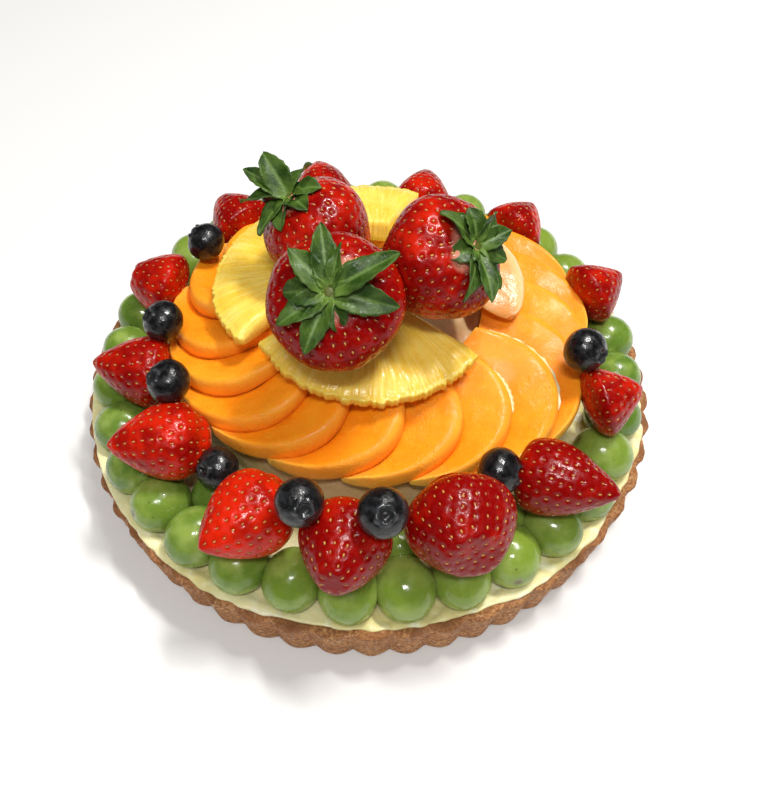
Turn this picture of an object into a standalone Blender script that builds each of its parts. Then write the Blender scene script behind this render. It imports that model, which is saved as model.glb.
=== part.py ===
"""A 9 inch fruit tart, in metres, +Z up, with its origin at the middle of the crust's underside.

A fluted shortcrust shell holds custard that rises to a mound in the middle. Round the mound lie
touching green grapes, and on them hulled strawberries with their tips outwards and blueberries
between them. Peach slices lie on the mound in a pinwheel, each with its thin edge against the
skin of the slice before it. Pineapple, one pale peach slice and three whole strawberries crown it.
"""

import math
import random

import bmesh
import bpy
from mathutils import Matrix, Vector
from mathutils.bvhtree import BVHTree

# Driving sizes of the shell and the custard
RIM_RADIUS = 0.115
CRUST_HEIGHT = 0.024
CRUST_FLARE = 0.003
CRUST_WALL = 0.0043
CRUST_FLOOR = 0.004
CRUST_FOOT_WIDTH = 0.0010
CRUST_FOOT_HEIGHT = 0.0014
LIP_WIDTH = 0.0014
LIP_HEIGHT = 0.0012
LIP_FALL = 0.0004
LIP_FLUTE_SHARE = 0.7
FLUTES = 52
FLUTE_DEPTH = 0.0024
CREAM_LEVEL = 0.0222
GAP = 0.0003

# The mound: its centre, how much wider than deep it is, and its radius and height going up
MOUND_CENTRE = Vector((0.0040, 0.0030, 0.0))
MOUND_STRETCH = 1.08
MOUND_PROFILE = (
    (0.0690, CREAM_LEVEL),
    (0.0695, 0.0330),
    (0.0680, 0.0410),
    (0.0630, 0.0480),
    (0.0510, 0.0525),
    (0.0390, 0.0560),
    (0.0320, 0.0575),
)
SHOULDER = 3
HUMP_PROFILE = ((0.0290, 0.0630), (0.0190, 0.0660), (0.0080, 0.0675))

# Fruit sizes
GRAPE_COUNT = 32
GRAPE_RING = 0.0998
FIRST_GRAPE_TURN = 266
GRAPE_WIDTH = 0.0207
GRAPE_LENGTH = 0.0226
GRAPE_SINK = 0.0030
INNER_GRAPE_WIDTH = 0.0180
INNER_GRAPE_LENGTH = 0.0195
INNER_GRAPES = ((228, 0.0835), (277, 0.0830), (304, 0.0850))
BLUEBERRY_SIZE = 0.0155
BERRY_RISE = math.radians(13)
PEACH_GAP = 0.0005
PEACH_SKIN_HEIGHT = 0.0100
PEACH_BLUNTNESS = 0.45
PINEAPPLE_CORE = 0.013
PINEAPPLE_THICKNESS = 0.009
PINEAPPLE_EDGE = 0.0012
PINEAPPLE_JAG = 0.0006
STRAWBERRY_MIDDLE = 0.45
CALYX_RADIUS = 0.0215
CALYX_EYE = 0.0028
LEAF_THICKNESS = 0.0009
LEAF_WAVE = 0.0007
PALE_SLICE_LENGTH = 0.042
PALE_SLICE_WIDTH = 0.026
PALE_SLICE_THICKNESS = 0.010
PALE_SLICE_PLACE = (0.0440, 0.0125)
PALE_SLICE_TURN = -76
PALE_SLICE_LEAN = (5, 20)

# Height from which each piece of the pile comes down, and the step that clears a last touch
DROP_FROM = 0.2
CLEAR_STEP = 0.0001

# Hulled strawberries of the ring, anticlockwise from the front right: place round the tart,
# distance out, length, width, turn of the tip from straight out, and the shares of the length
# where the leaf end and the tip are cut off
RING_STRAWBERRIES = (
    (288.4, 0.0962, 0.0335, 0.0365, -6, 0.06, 0.80),
    (265.1, 0.0967, 0.0320, 0.0305, -6, 0.16, 0.90),
    (244.4, 0.0936, 0.0340, 0.0290, -18, 0.24, 1.0),
    (215.3, 0.0896, 0.0340, 0.0285, -22, 0.30, 1.0),
    (191.9, 0.0877, 0.0335, 0.0270, -14, 0.38, 1.0),
    (162.9, 0.0857, 0.0340, 0.0290, 4, 0.46, 0.88),
    (130.9, 0.0850, 0.0330, 0.0285, -4, 0.46, 0.92),
    (103.8, 0.0864, 0.0330, 0.0280, -4, 0.34, 1.0),
    (73.4, 0.0844, 0.0320, 0.0270, 6, 0.38, 1.0),
    (43.2, 0.0851, 0.0330, 0.0285, 10, 0.50, 1.0),
    (11.9, 0.0889, 0.0340, 0.0290, 18, 0.52, 1.0),
    (336.6, 0.0892, 0.0340, 0.0300, 38, 0.56, 1.0),
    (313.0, 0.0946, 0.0380, 0.0265, 22, 0.22, 1.0),
)

# Blueberries: place round the tart and distance out, and then their shape from crown to foot
BLUEBERRIES = (
    (302.7, 0.0815), (272.5, 0.0940), (256.9, 0.0920), (228.8, 0.0800), (206.2, 0.0785),
    (184.5, 0.0770), (149.3, 0.0770), (117.4, 0.0860), (342.6, 0.0810),
)
BLUEBERRY_PROFILE = ((0.16, 0.40), (0.24, 0.49), (0.42, 0.34), (0.50, 0.04), (0.42, -0.28), (0.22, -0.46))

# Whole strawberries on top: place, direction from tip to leaves, length, width, leaves, droop
TOP_STRAWBERRIES = (
    ((-0.0105, -0.0300), (-0.08, -0.52, 0.85), 0.040, 0.0445, 9, 0.0045),
    ((-0.0163, 0.0101), (-0.55, 0.14, 0.82), 0.045, 0.0385, 8, -0.0045),
    ((0.0218, -0.0112), (0.62, -0.36, 0.70), 0.045, 0.0415, 9, 0.0015),
)

# Peach slices: where each skin edge starts round the mound, and its reach from the mound's centre
PEACHES = (
    (203, 0.0780), (222, 0.0765), (240, 0.0770), (259, 0.0750), (281, 0.0735), (303, 0.0730),
    (322, 0.0745), (341, 0.0790), (358, 0.0795), (378, 0.0770), (399, 0.0775), (419, 0.0780),
    (439, 0.0780), (459, 0.0770), (480, 0.0765), (501, 0.0765), (522, 0.0775), (543, 0.0785),
)

# The skin edge of a peach slice: share of its reach, and turn in degrees from where it starts
PEACH_CURVE = (
    (0.46, -1.0), (0.54, -0.5), (0.62, 0.0), (0.70, -1.0), (0.77, -3.0), (0.84, -6.5),
    (0.90, -11.5), (0.95, -18.0), (0.985, -25.5), (1.0, -33.0), (0.990, -39.0), (0.965, -44.0),
    (0.920, -49.0), (0.860, -53.0),
)

# Pineapple pieces, in the order they are laid: centre of the arc, its first and last angle,
# radius, the direction it leans towards and the lean in degrees
PINEAPPLES = (
    ((0.002, -0.004), 208, 324, 0.046, 270, 10),
    ((-0.015, 0.009), 107, 226, 0.045, 168, 10),
    ((0.003, 0.022), 66, 115, 0.045, 78, 10),
)

random.seed(11)


def clear_scene():
    for old in list(bpy.data.objects):
        bpy.data.objects.remove(old)


def material(name, colour, roughness):
    made = bpy.data.materials.new(name)
    made.use_nodes = True
    shader = made.node_tree.nodes["Principled BSDF"]
    shader.inputs["Base Color"].default_value = (*colour, 1.0)
    shader.inputs["Roughness"].default_value = roughness
    shader.inputs["Metallic"].default_value = 0.0
    made.diffuse_color = (*colour, 1.0)
    return made


def object_from(name, points, faces, finish):
    """A closed object from points and faces, with its faces turned outwards."""
    mesh = bpy.data.meshes.new(name)
    mesh.from_pydata(points, [], faces)
    shape = bmesh.new()
    shape.from_mesh(mesh)
    bmesh.ops.recalc_face_normals(shape, faces=shape.faces)
    shape.to_mesh(mesh)
    shape.free()
    mesh.shade_smooth()
    mesh.set_sharp_from_angle(angle=math.radians(50))
    mesh.materials.append(finish)
    made = bpy.data.objects.new(name, mesh)
    bpy.context.scene.collection.objects.link(made)
    return made


def loft(rings, first_point=None, last_point=None):
    """Points and faces of a tube through equal closed rings, each end closed flat or at a point."""
    count = len(rings[0])
    points = [point for ring in rings for point in ring]
    faces = []
    for row in range(len(rings) - 1):
        for step in range(count):
            a = row * count + step
            b = row * count + (step + 1) % count
            faces.append((a, b, b + count, a + count))
    for start, tip in ((0, first_point), ((len(rings) - 1) * count, last_point)):
        if tip is None:
            faces.append(tuple(range(start, start + count)))
            continue
        points.append(tip)
        for step in range(count):
            faces.append((start + step, start + (step + 1) % count, len(points) - 1))
    return points, faces


def circle(radius, height, count):
    turns = [math.tau * step / count for step in range(count)]
    return [Vector((radius * math.cos(turn), radius * math.sin(turn), height)) for turn in turns]


def ring_place(turn_degrees, radius):
    turn = math.radians(turn_degrees)
    return Vector((radius * math.cos(turn), radius * math.sin(turn), 0))


def lean_matrix(turn_degrees, lean_degrees):
    """A lean down towards the direction turn_degrees."""
    turn = math.radians(turn_degrees)
    axis = Vector((-math.sin(turn), math.cos(turn), 0))
    return Matrix.Rotation(math.radians(lean_degrees), 4, axis)


def world_mesh(piece):
    bpy.context.view_layer.update()
    points = [piece.matrix_world @ vertex.co for vertex in piece.data.vertices]
    return points, [list(face.vertices) for face in piece.data.polygons]


class Pile:
    """What has been laid so far. A new piece comes down along Z until it is GAP above it."""

    def __init__(self):
        self.points = []
        self.faces = []

    def add(self, piece):
        start = len(self.points)
        points, faces = world_mesh(piece)
        self.points += points
        self.faces += [[start + vertex for vertex in face] for face in faces]

    def settle(self, piece):
        under = BVHTree.FromPolygons(self.points, self.faces)
        points, faces = world_mesh(piece)
        over = BVHTree.FromPolygons(points, faces)
        drops = [under.ray_cast(point, (0, 0, -1))[3] for point in points]
        drops += [over.ray_cast(point, (0, 0, 1))[3] for point in self.points]
        drop = min(distance for distance in drops if distance is not None) - GAP
        while under.overlap(BVHTree.FromPolygons([p - Vector((0, 0, drop)) for p in points], faces)):
            drop -= CLEAR_STEP
        piece.location.z -= drop - GAP / 2
        self.add(piece)


def flute(turn):
    """How far a flute of the crust stands out at this angle, from 0 in a notch to 1 on a crest."""
    return abs(math.cos(FLUTES * turn / 2))


def make_crust():
    part_steps = 4
    fine = FLUTES * part_steps

    def fluted(radius, height, depth):
        turns = [math.tau * step / fine for step in range(fine)]
        radii = [radius - depth * (1 - flute(turn)) for turn in turns]
        return [(r * math.cos(turn), r * math.sin(turn), height) for r, turn in zip(radii, turns)]

    base_radius = RIM_RADIUS - CRUST_FLARE
    outer_rings = (
        fluted(base_radius - CRUST_FOOT_WIDTH, 0.0, FLUTE_DEPTH),
        fluted(base_radius, CRUST_FOOT_HEIGHT, FLUTE_DEPTH),
        fluted(RIM_RADIUS, CRUST_HEIGHT - LIP_HEIGHT, FLUTE_DEPTH),
        fluted(RIM_RADIUS - LIP_WIDTH, CRUST_HEIGHT, FLUTE_DEPTH * LIP_FLUTE_SHARE),
    )
    points = [point for ring in outer_rings for point in ring]
    faces = [tuple(range(fine))]
    for row in range(len(outer_rings) - 1):
        for step in range(fine):
            a = row * fine + step
            b = row * fine + (step + 1) % fine
            faces.append((a, b, b + fine, a + fine))
    top = (len(outer_rings) - 1) * fine
    inner = len(points)
    points += [tuple(point) for point in circle(inner_wall(CRUST_HEIGHT), CRUST_HEIGHT - LIP_FALL, FLUTES)]
    points += [tuple(point) for point in circle(inner_wall(CRUST_FLOOR), CRUST_FLOOR, FLUTES)]
    for step in range(FLUTES):
        here = inner + step
        after = inner + (step + 1) % FLUTES
        edge = [top + (step * part_steps + part) % fine for part in range(part_steps + 1)]
        middle = part_steps // 2
        faces += [(here, edge[part], edge[part + 1]) for part in range(middle)]
        faces += [(after, edge[part], edge[part + 1]) for part in range(middle, part_steps)]
        faces.append((here, edge[middle], after))
        faces.append((here, after, after + FLUTES, here + FLUTES))
    faces.append(tuple(range(inner + FLUTES, inner + 2 * FLUTES)))
    return object_from("crust", points, faces, material("baked_crust", (0.42, 0.20, 0.09), 0.75))


def inner_wall(height):
    """Radius of the crust's inner wall at this height."""
    lift = (height - CRUST_FLOOR) / (CRUST_HEIGHT - CRUST_FLOOR)
    return RIM_RADIUS - CRUST_FLARE * (1 - lift) - CRUST_WALL


def mound_point(turn_degrees, radius, height):
    place = ring_place(turn_degrees, radius)
    return MOUND_CENTRE + Vector((place.x * MOUND_STRETCH, place.y, height))


def bed_height(point):
    """Height of the bed the peaches lie on: the custard, carried on past the mound's shoulder."""
    offset = point - MOUND_CENTRE
    radius = math.hypot(offset.x / MOUND_STRETCH, offset.y)
    slopes = MOUND_PROFILE[SHOULDER:]
    for (r1, z1), (r2, z2) in zip(slopes, slopes[1:]):
        if radius >= r2:
            return z2 + (z1 - z2) * (radius - r2) / (r1 - r2)
    return slopes[-1][1]


def make_cream():
    count = 44
    bottom = CRUST_FLOOR + GAP
    rings = [
        circle(inner_wall(bottom) - 2 * GAP, bottom, count),
        circle(inner_wall(CREAM_LEVEL) - 2 * GAP, CREAM_LEVEL, count),
    ]
    for radius, height in MOUND_PROFILE + HUMP_PROFILE:
        rings.append([mound_point(360 * step / count, radius, height) for step in range(count)])
    points, faces = loft(rings, None, mound_point(0, 0, HUMP_PROFILE[-1][1] + 0.0003))
    return object_from("custard", points, faces, material("custard", (0.88, 0.80, 0.48), 0.5))


def grape(place, yaw, width, length):
    """One grape of few sides, its underside flattened where it stands in the custard."""
    sides, rows = 9, 5
    rings = []
    for row in range(rows):
        tilt = math.pi * (row + 1) / (rows + 1)
        radius, height = math.sin(tilt), -math.cos(tilt)
        rings.append(circle(radius, height, sides))
    points, faces = loft(rings, Vector((0, 0, -1)), Vector((0, 0, 1)))
    turn = Matrix.Rotation(yaw, 4, "Z")
    centre = place + Vector((0, 0, CREAM_LEVEL + width / 2 - GRAPE_SINK))
    floor = CREAM_LEVEL + GAP
    placed = []
    for point in points:
        spot = centre + turn @ Vector((point.x * length / 2, point.y * width / 2, point.z * width / 2))
        placed.append(Vector((spot.x, spot.y, max(spot.z, floor))))
    return placed, faces


def make_grapes(finish):
    """The grapes are one heap: each touches the next, and all are fused where they touch."""
    grapes = []
    for index in range(GRAPE_COUNT):
        turn = FIRST_GRAPE_TURN + 360 * index / GRAPE_COUNT
        size = random.uniform(0.99, 1.04)
        yaw = math.radians(turn) + random.uniform(-0.45, 0.45)
        place = ring_place(turn, GRAPE_RING + random.uniform(-0.0010, 0.0001))
        grapes.append(grape(place, yaw, GRAPE_WIDTH * size, GRAPE_LENGTH * size))
    for turn, radius in INNER_GRAPES:
        yaw = math.radians(turn) + random.uniform(0.9, 1.6)
        grapes.append(grape(ring_place(turn, radius), yaw, INNER_GRAPE_WIDTH, INNER_GRAPE_LENGTH))
    single = bpy.data.collections.new("single_grapes")
    heap = object_from("grapes", *grapes[0], finish)
    for points, faces in grapes[1:]:
        piece = object_from("grape", points, faces, finish)
        bpy.context.scene.collection.objects.unlink(piece)
        single.objects.link(piece)
    union = heap.modifiers.new("grapes", "BOOLEAN")
    union.operation = "UNION"
    union.operand_type = "COLLECTION"
    union.collection = single
    union.solver = "EXACT"
    bpy.context.view_layer.update()
    fused = heap.evaluated_get(bpy.context.evaluated_depsgraph_get())
    joined = bpy.data.meshes.new_from_object(fused)
    heap.modifiers.clear()
    heap.data = joined
    for piece in list(single.objects):
        bpy.data.objects.remove(piece)
    bpy.data.collections.remove(single)
    return heap


def strawberry_radius(share):
    """Half width at this share of the length from the leaves to the tip, for a width of 1."""
    return 0.5 * math.sin(math.pi * share**0.62) ** 0.72


def strawberry_mesh(name, length, width, first, last, finish):
    """A strawberry along X with its tip at +X, cut flat where first or last leaves it short."""
    sides = 12
    stations = 6
    rings = []
    for row in range(stations):
        share = first + (last - first) * (0.5 - 0.5 * math.cos(math.pi * (row + 0.5) / stations))
        if row == 0 and first > 0:
            share = first
        if row == stations - 1 and last < 1:
            share = last
        radius = strawberry_radius(share) * width
        along = (share - STRAWBERRY_MIDDLE) * length
        turns = [math.tau * step / sides for step in range(sides)]
        rings.append([Vector((along, radius * math.cos(t), radius * math.sin(t))) for t in turns])
    hull = None if first > 0 else Vector((-STRAWBERRY_MIDDLE * length, 0, 0))
    tip = None if last < 1 else Vector(((1 - STRAWBERRY_MIDDLE) * length, 0, 0))
    points, faces = loft(rings, hull, tip)
    return object_from(name, points, faces, finish)


def lay_ring_strawberries(pile, finish):
    for number, row in enumerate(RING_STRAWBERRIES, 1):
        turn, radius, length, width, yaw, hull, cut = row
        piece = strawberry_mesh(f"strawberry_{number:02d}", length, width, hull, cut, finish)
        piece.location = ring_place(turn, radius) + Vector((0, 0, DROP_FROM))
        piece.rotation_euler = (0, -BERRY_RISE, math.radians(turn + yaw))
        pile.settle(piece)


def lay_blueberries(pile, finish):
    """Each blueberry sits in a gap between two strawberries, its crown turned up and out."""
    sides = 9
    for number, (turn, radius) in enumerate(BLUEBERRIES, 1):
        size = BLUEBERRY_SIZE * random.uniform(0.96, 1.08)
        rings = [circle(share * size, height * size * 0.94, sides) for share, height in BLUEBERRY_PROFILE]
        points, faces = loft(rings, Vector((0, 0, 0.37 * size)), Vector((0, 0, -0.49 * size)))
        piece = object_from(f"blueberry_{number:02d}", points, faces, finish)
        piece.location = ring_place(turn, radius) + Vector((0, 0, DROP_FROM))
        lean = random.uniform(20, 60)
        aim = turn + random.uniform(-50, 50)
        piece.rotation_euler = (0, math.radians(lean), math.radians(aim))
        pile.settle(piece)


def along(line, share):
    """The point at this share of the length of a line of points."""
    lengths = [(b - a).length for a, b in zip(line, line[1:])]
    left = share * sum(lengths)
    for a, b, length in zip(line, line[1:], lengths):
        if left <= length:
            return a.lerp(b, left / length)
        left -= length
    return line[-1].copy()


def skin_edge(turn, reach):
    """The skin edge of a peach slice seen from above, from the middle of the mound outwards."""
    return [mound_point(turn + bend, share * reach, 0) for share, bend in PEACH_CURVE]


def crossing(line, other):
    """Where two lines of points cross last: the point, and how far along each line it is."""
    for i in range(len(line) - 2, -1, -1):
        for j in range(len(other) - 2, -1, -1):
            a, b = line[i], line[i + 1] - line[i]
            c, d = other[j], other[j + 1] - other[j]
            across = b.x * d.y - b.y * d.x
            if abs(across) < 1e-12:
                continue
            s = ((c.x - a.x) * d.y - (c.y - a.y) * d.x) / across
            t = ((c.x - a.x) * b.y - (c.y - a.y) * b.x) / across
            if 0 <= s <= 1 and 0 <= t <= 1:
                return a + b * s, i, j
    raise ValueError("neighbouring peach slices do not cross")


# A peach slice across its width from the thin edge to the skin:
# share of the width, and height as a share of the skin's height
PEACH_SECTION = ((0.0, 0.0), (0.0, 0.22), (0.55, 0.72), (0.90, 1.0), (1.0, 0.55), (0.94, 0.0), (0.5, 0.0))


def lay_peaches(finish):
    """Each slice fills the plan between its own skin edge and that of the slice before it."""
    stations = 7
    placed = []
    for number, (turn, reach) in enumerate(PEACHES, 1):
        before_turn, before_reach = PEACHES[number - 2]
        own = skin_edge(turn, reach)
        before = skin_edge(before_turn, before_reach)
        tip, own_last, before_last = crossing(own, before)
        own = own[: own_last + 1] + [tip]
        before = before[: before_last + 1] + [tip]
        rings = []
        for row in range(stations):
            share = 0.5 - 0.5 * math.cos(math.pi * (row + PEACH_BLUNTNESS) / (stations + PEACH_BLUNTNESS))
            thin, skin = along(before, share), along(own, share)
            side = (skin - thin).normalized()
            thin += side * PEACH_GAP
            skin -= side * PEACH_GAP
            rise = PEACH_SKIN_HEIGHT * (0.30 + 0.70 * math.sin(math.pi * (0.12 + 0.80 * share)) ** 0.6)
            ring = []
            for across, lift in PEACH_SECTION:
                point = thin.lerp(skin, across)
                ring.append(point + Vector((0, 0, bed_height(point) + 3 * GAP + lift * rise)))
            rings.append(ring)
        points, faces = loft(rings)
        placed.append(object_from(f"peach_{number:02d}", points, faces, finish))
    return placed


def lay_pineapples(pile, finish):
    for number, (centre, first, last, radius, lean_to, lean) in enumerate(PINEAPPLES, 1):
        steps = max(8, round((last - first) / 11))
        half = PINEAPPLE_THICKNESS / 2
        rings = []
        for step in range(steps + 1):
            turn = first + (last - first) * step / steps
            outer = radius + PINEAPPLE_JAG * (-1) ** step
            section = (
                (PINEAPPLE_CORE, half),
                (outer - PINEAPPLE_EDGE, half),
                (outer, 0),
                (outer - PINEAPPLE_EDGE, -half),
                (PINEAPPLE_CORE, -half),
            )
            rings.append([ring_place(turn, r) + Vector((0, 0, z)) for r, z in section])
        points, faces = loft(rings)
        piece = object_from(f"pineapple_{number}", points, faces, finish)
        piece.location = (*centre, DROP_FROM)
        piece.rotation_euler = lean_matrix(lean_to, lean).to_euler()
        pile.settle(piece)


def lay_pale_slice(pile):
    """A pale peach slice on its flat side, thin edge towards the middle."""
    stations = 7
    rings = []
    for row in range(stations):
        share = math.sin(math.pi * 0.5 * (2 * (row + 0.5) / stations - 1))
        wide = PALE_SLICE_WIDTH * (1 - share * share) ** 0.5
        rise = PALE_SLICE_THICKNESS * (0.35 + 0.65 * (1 - share * share))
        skin = 0.5 * PALE_SLICE_WIDTH - 0.35 * (PALE_SLICE_WIDTH - wide)
        ring = []
        for across, lift in PEACH_SECTION:
            ring.append(Vector((share * PALE_SLICE_LENGTH / 2, skin - (1 - across) * wide, lift * rise)))
        rings.append(ring)
    points, faces = loft(rings)
    piece = object_from("pale_peach", points, faces, material("pale_peach", (0.90, 0.62, 0.36), 0.3))
    piece.location = (*PALE_SLICE_PLACE, DROP_FROM)
    heading = Matrix.Rotation(math.radians(PALE_SLICE_TURN), 4, "Z")
    piece.rotation_euler = (lean_matrix(*PALE_SLICE_LEAN) @ heading).to_euler()
    pile.settle(piece)


def leaf_crown(name, finish, droop, leaves):
    """A ring of pointed leaves in one thin wavy sheet, both faces split alike, facing -X."""
    around = leaves * 4
    sheets = []
    for half in (LEAF_THICKNESS / 2, -LEAF_THICKNESS / 2):
        for share in (0.0, 0.5, 1.0):
            ring = []
            for step in range(around):
                turn = math.tau * step / around
                leaf, part = divmod(step, 4)
                reach = CALYX_RADIUS * (0.86 + 0.14 * math.cos(2.4 * leaf))
                radius = (0.24, 0.62, 1.0, 0.62)[part] * reach
                radius = CALYX_EYE + (radius - CALYX_EYE) * share
                wave = LEAF_WAVE * math.sin(1.7 * leaf + part * 1.5) * share
                lift = droop * (radius / CALYX_RADIUS) ** 2 + wave
                ring.append(Vector((lift - half, radius * math.cos(turn), radius * math.sin(turn))))
            sheets.append(ring)
    points, faces = loft(sheets[:3] + sheets[:2:-1])
    return object_from(name, points, split_alike(faces, 3 * around), finish)


def split_alike(faces, under):
    """Quads cut along the same diagonals on both sides of a sheet. Its underside's points start at under."""
    cut = []
    for face in faces:
        if len(face) != 4:
            cut.append(face)
            continue
        a, b, c, d = face
        if min(face) < under:
            cut += [(a, b, c), (a, c, d)]
        else:
            cut += [(a, b, d), (b, c, d)]
    return cut


def tree_of(piece):
    return BVHTree.FromPolygons(*world_mesh(piece))


def lay_top_strawberries(pile, flesh, green):
    """Three whole strawberries, each with its leaf crown on the end opposite the tip."""
    for number, row in enumerate(TOP_STRAWBERRIES, 1):
        place, axis, length, width, leaves, droop = row
        berry = strawberry_mesh(f"top_strawberry_{number}", length, width, 0.0, 1.0, flesh)
        berry.rotation_euler = (-Vector(axis)).to_track_quat("X", "Z").to_euler()
        berry.location = (*place, DROP_FROM)
        pile.settle(berry)
        out = Vector(axis).normalized()
        crown = leaf_crown(f"leaf_crown_{number}", green, droop, leaves)
        crown.rotation_euler = berry.rotation_euler
        crown.location = berry.location + out * (STRAWBERRY_MIDDLE * length + LEAF_THICKNESS)
        pile_tree = BVHTree.FromPolygons(pile.points, pile.faces)
        while pile_tree.overlap(tree_of(crown)):
            crown.location += out * 2 * CLEAR_STEP
        crown.location += out * GAP
        pile.add(crown)


def build():
    clear_scene()
    crust = make_crust()
    cream = make_cream()
    flesh = material("strawberry", (0.62, 0.02, 0.02), 0.3)
    pile = Pile()
    pile.add(crust)
    pile.add(cream)
    pile.add(make_grapes(material("green_grape", (0.36, 0.52, 0.12), 0.25)))
    lay_ring_strawberries(pile, flesh)
    for slice_piece in lay_peaches(material("peach", (0.95, 0.45, 0.04), 0.3)):
        pile.add(slice_piece)
    lay_blueberries(pile, material("blueberry", (0.03, 0.035, 0.06), 0.45))
    lay_pineapples(pile, material("pineapple", (0.90, 0.74, 0.16), 0.35))
    lay_pale_slice(pile)
    lay_top_strawberries(pile, flesh, material("leaf", (0.08, 0.24, 0.05), 0.5))


build()
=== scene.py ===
"""The looks of a fruit tart: a fluted shortcrust shell of custard under glazed fresh fruit.

Each solid of the frame is replaced by a finer piece of the same form in the same place. Lengths are
in metres, +Z is up, and all meshes are in the frame's own coordinates.
"""
import math
import random

import bpy
import numpy as np
from mathutils import Matrix, Vector, noise


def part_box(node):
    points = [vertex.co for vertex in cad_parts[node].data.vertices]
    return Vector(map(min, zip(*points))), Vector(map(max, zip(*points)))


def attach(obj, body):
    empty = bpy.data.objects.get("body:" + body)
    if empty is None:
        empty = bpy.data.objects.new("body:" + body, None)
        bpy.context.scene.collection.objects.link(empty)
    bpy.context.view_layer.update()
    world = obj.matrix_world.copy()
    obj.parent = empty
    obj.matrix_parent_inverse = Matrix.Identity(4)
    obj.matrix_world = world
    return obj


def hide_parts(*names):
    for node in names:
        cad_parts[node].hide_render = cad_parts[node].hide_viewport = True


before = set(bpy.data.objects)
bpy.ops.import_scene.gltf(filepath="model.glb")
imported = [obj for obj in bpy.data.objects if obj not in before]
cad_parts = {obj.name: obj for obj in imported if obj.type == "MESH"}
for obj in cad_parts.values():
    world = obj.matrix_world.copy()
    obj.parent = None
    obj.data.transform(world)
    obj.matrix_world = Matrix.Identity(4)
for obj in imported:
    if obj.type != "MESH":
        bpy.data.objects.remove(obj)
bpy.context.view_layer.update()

# Sizes of the shell and the custard, as in the frame
RIM_RADIUS = 0.115
CRUST_HEIGHT = 0.024
CRUST_FLARE = 0.003
CRUST_WALL = 0.0043
CRUST_FLOOR = 0.004
FLUTES = 52
FLUTE_DEPTH = 0.0024
FLUTE_POINTS = 14
LIP_ROUND = 0.0017
CREAM_LEVEL = 0.0222
CREAM_POINTS = 640
CREAM_LAP = 0.0021
CREAM_LAP_TURN = 204
GAP = 0.0003
MOUND_CENTRE = Vector((0.0040, 0.0030, 0.0))
MOUND_STRETCH = 1.08
MOUND_PROFILE = (
    (0.0690, CREAM_LEVEL),
    (0.0695, 0.0330),
    (0.0680, 0.0410),
    (0.0630, 0.0480),
    (0.0510, 0.0525),
    (0.0390, 0.0560),
    (0.0320, 0.0575),
)
SHOULDER = 3
HUMP_PROFILE = ((0.0290, 0.0630), (0.0190, 0.0660), (0.0080, 0.0675))

# Grapes round the rim
GRAPE_COUNT = 32
FIRST_GRAPE_TURN = 266
GRAPE_RING = 0.0998
GRAPE_WIDTH = 0.0207
GRAPE_LENGTH = 0.0226
GRAPE_SINK = 0.0030
INNER_GRAPE_WIDTH = 0.0180
INNER_GRAPE_LENGTH = 0.0195
INNER_GRAPES = ((228, 0.0835), (277, 0.0830), (304, 0.0850))

# Hulled strawberries: place round the tart, length, width, turn of the tip, shares of the length
# where the frame's solid and the berry shown start, where the tip is cut off, and how bright the flesh is
BERRY_RISE = math.radians(13)
HULL_DOME = 0.45
BERRY_MIDDLE = 0.45
SEED_PITCH = 0.0039
SEED_ENDS = (0.00062, 0.00070)
SEED_HALVES = (0.00058, 0.00036, 0.00030)
SEED_SINK = 0.00030
PIT_WIDTH = 0.00078
PIT_DEPTH = 0.00042
PUFF_RADIUS = 0.0018
PUFF_HEIGHT = 0.00010
FINE_SPACING = 0.00054
COARSE_SPACING = 0.00075
TOP_SPACING = 0.00053
NEAR_STRAWBERRIES = (1, 2, 3, 4, 5, 12, 13)
RING_STRAWBERRIES = (
    (288.4, 0.0335, 0.0365, -6, 0.06, 0.06, 0.80, 0.10),
    (265.1, 0.0320, 0.0305, -6, 0.16, 0.06, 0.90, 0.08),
    (244.4, 0.0340, 0.0290, -18, 0.24, 0.06, 1.0, 0.72),
    (215.3, 0.0340, 0.0285, -22, 0.30, 0.06, 1.0, 0.50),
    (191.9, 0.0335, 0.0270, -14, 0.38, 0.32, 1.0, 0.35),
    (162.9, 0.0340, 0.0290, 4, 0.46, 0.44, 0.88, 0.45),
    (130.9, 0.0330, 0.0285, -4, 0.46, 0.40, 0.92, 0.25),
    (103.8, 0.0330, 0.0280, -4, 0.34, 0.32, 1.0, 0.35),
    (73.4, 0.0320, 0.0270, 6, 0.38, 0.38, 1.0, 0.35),
    (43.2, 0.0330, 0.0285, 10, 0.50, 0.50, 1.0, 0.35),
    (11.9, 0.0340, 0.0290, 18, 0.52, 0.52, 1.0, 0.30),
    (336.6, 0.0340, 0.0300, 38, 0.56, 0.54, 1.0, 0.35),
    (313.0, 0.0380, 0.0265, 22, 0.22, 0.22, 1.0, 0.0),
)

# Whole strawberries on top: direction from tip to leaves, length, width, brightness
TOP_STRAWBERRIES = (
    ((-0.08, -0.52, 0.85), 0.040, 0.0445, 0.15),
    ((-0.55, 0.14, 0.82), 0.045, 0.0385, 0.30),
    ((0.62, -0.36, 0.70), 0.045, 0.0415, 0.30),
)

# Their pale patches: direction, and the least cosine of the angle to it
PALE_SIDES = {1: ((0.22, -0.20, 0.95), 0.965), 3: ((0.38, -0.62, 0.68), 0.972)}

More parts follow.
